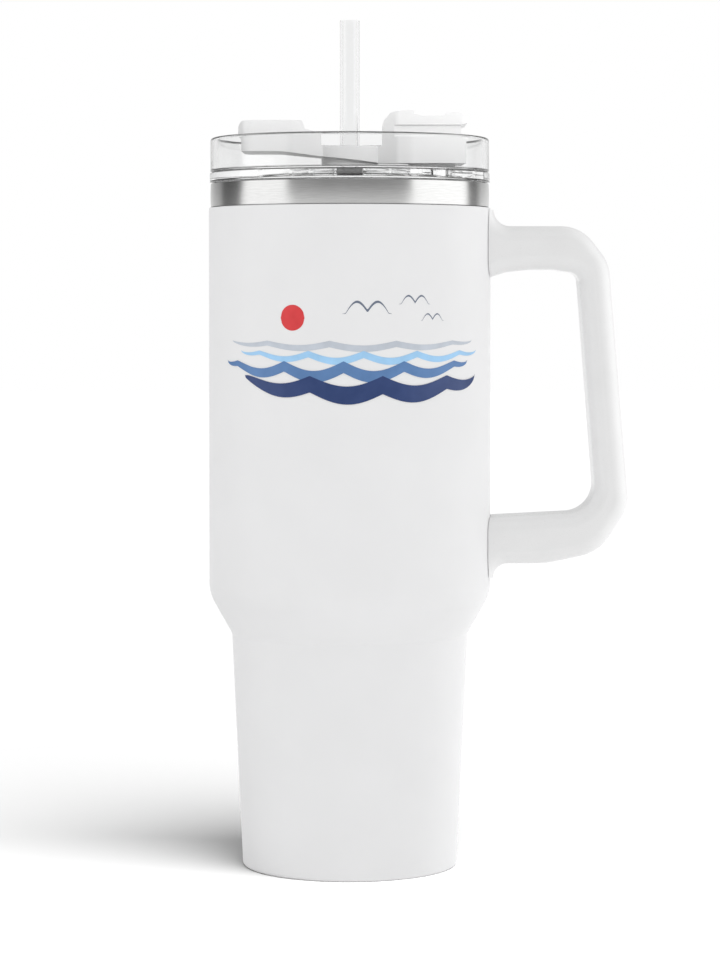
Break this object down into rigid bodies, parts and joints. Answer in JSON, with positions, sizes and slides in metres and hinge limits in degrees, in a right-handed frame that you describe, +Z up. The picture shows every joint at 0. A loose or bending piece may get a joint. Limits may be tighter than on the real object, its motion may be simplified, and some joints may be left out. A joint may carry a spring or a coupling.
{
  "type": "handled insulated tumbler",
  "caption": "Tall double-wall steel tumbler with a side handle, tapered foot, clear lid with swivelling cover, and a straw.",
  "frame": {"origin": "centre of the flat base, on the cup's axis", "axes": "+Z up along the cup's axis, +X towards the handle, -Y towards the side that carries the print"},
  "size_m": [0.1477, 0.0996, 0.2987],
  "materials": {
    "white_coating": "satin white powder coat",
    "bare_steel": "fine brushed stainless steel",
    "white_plastic": "white moulded plastic, softly glossy",
    "clear_plastic": "clear moulded plastic",
    "frosted_plastic": "translucent drinking straw",
    "silicone": "translucent grey-white silicone"
  },
  "bodies": {
    "cup": {"outer_shell": "white_coating", "rim_band": "bare_steel", "inner_liner": "bare_steel", "base_disc": "bare_steel", "handle": "white_plastic"},
    "lid": {"lid_body": "clear_plastic", "lid_seal": "silicone", "straw_grommet": "silicone"},
    "cover": {"swivel_cover": "white_plastic", "sip_seal": "silicone"},
    "straw": {"straw": "frosted_plastic"}
  },
  "joints": [
    {"name": "lid_lift", "type": "slide", "parent": "cup", "child": "lid", "axis": [0, 0, 1], "range_m": [0, 0.25]},
    {"name": "cover_swivel", "type": "hinge", "parent": "lid", "child": "cover", "pos_m": [0, 0, 0.2505], "axis": [0, 0, 1], "range_deg": [0, 90]},
    {"name": "straw_slide", "type": "slide", "parent": "lid", "child": "straw", "axis": [0, 0, 1], "range_m": [0, 0.245]}
  ]
}
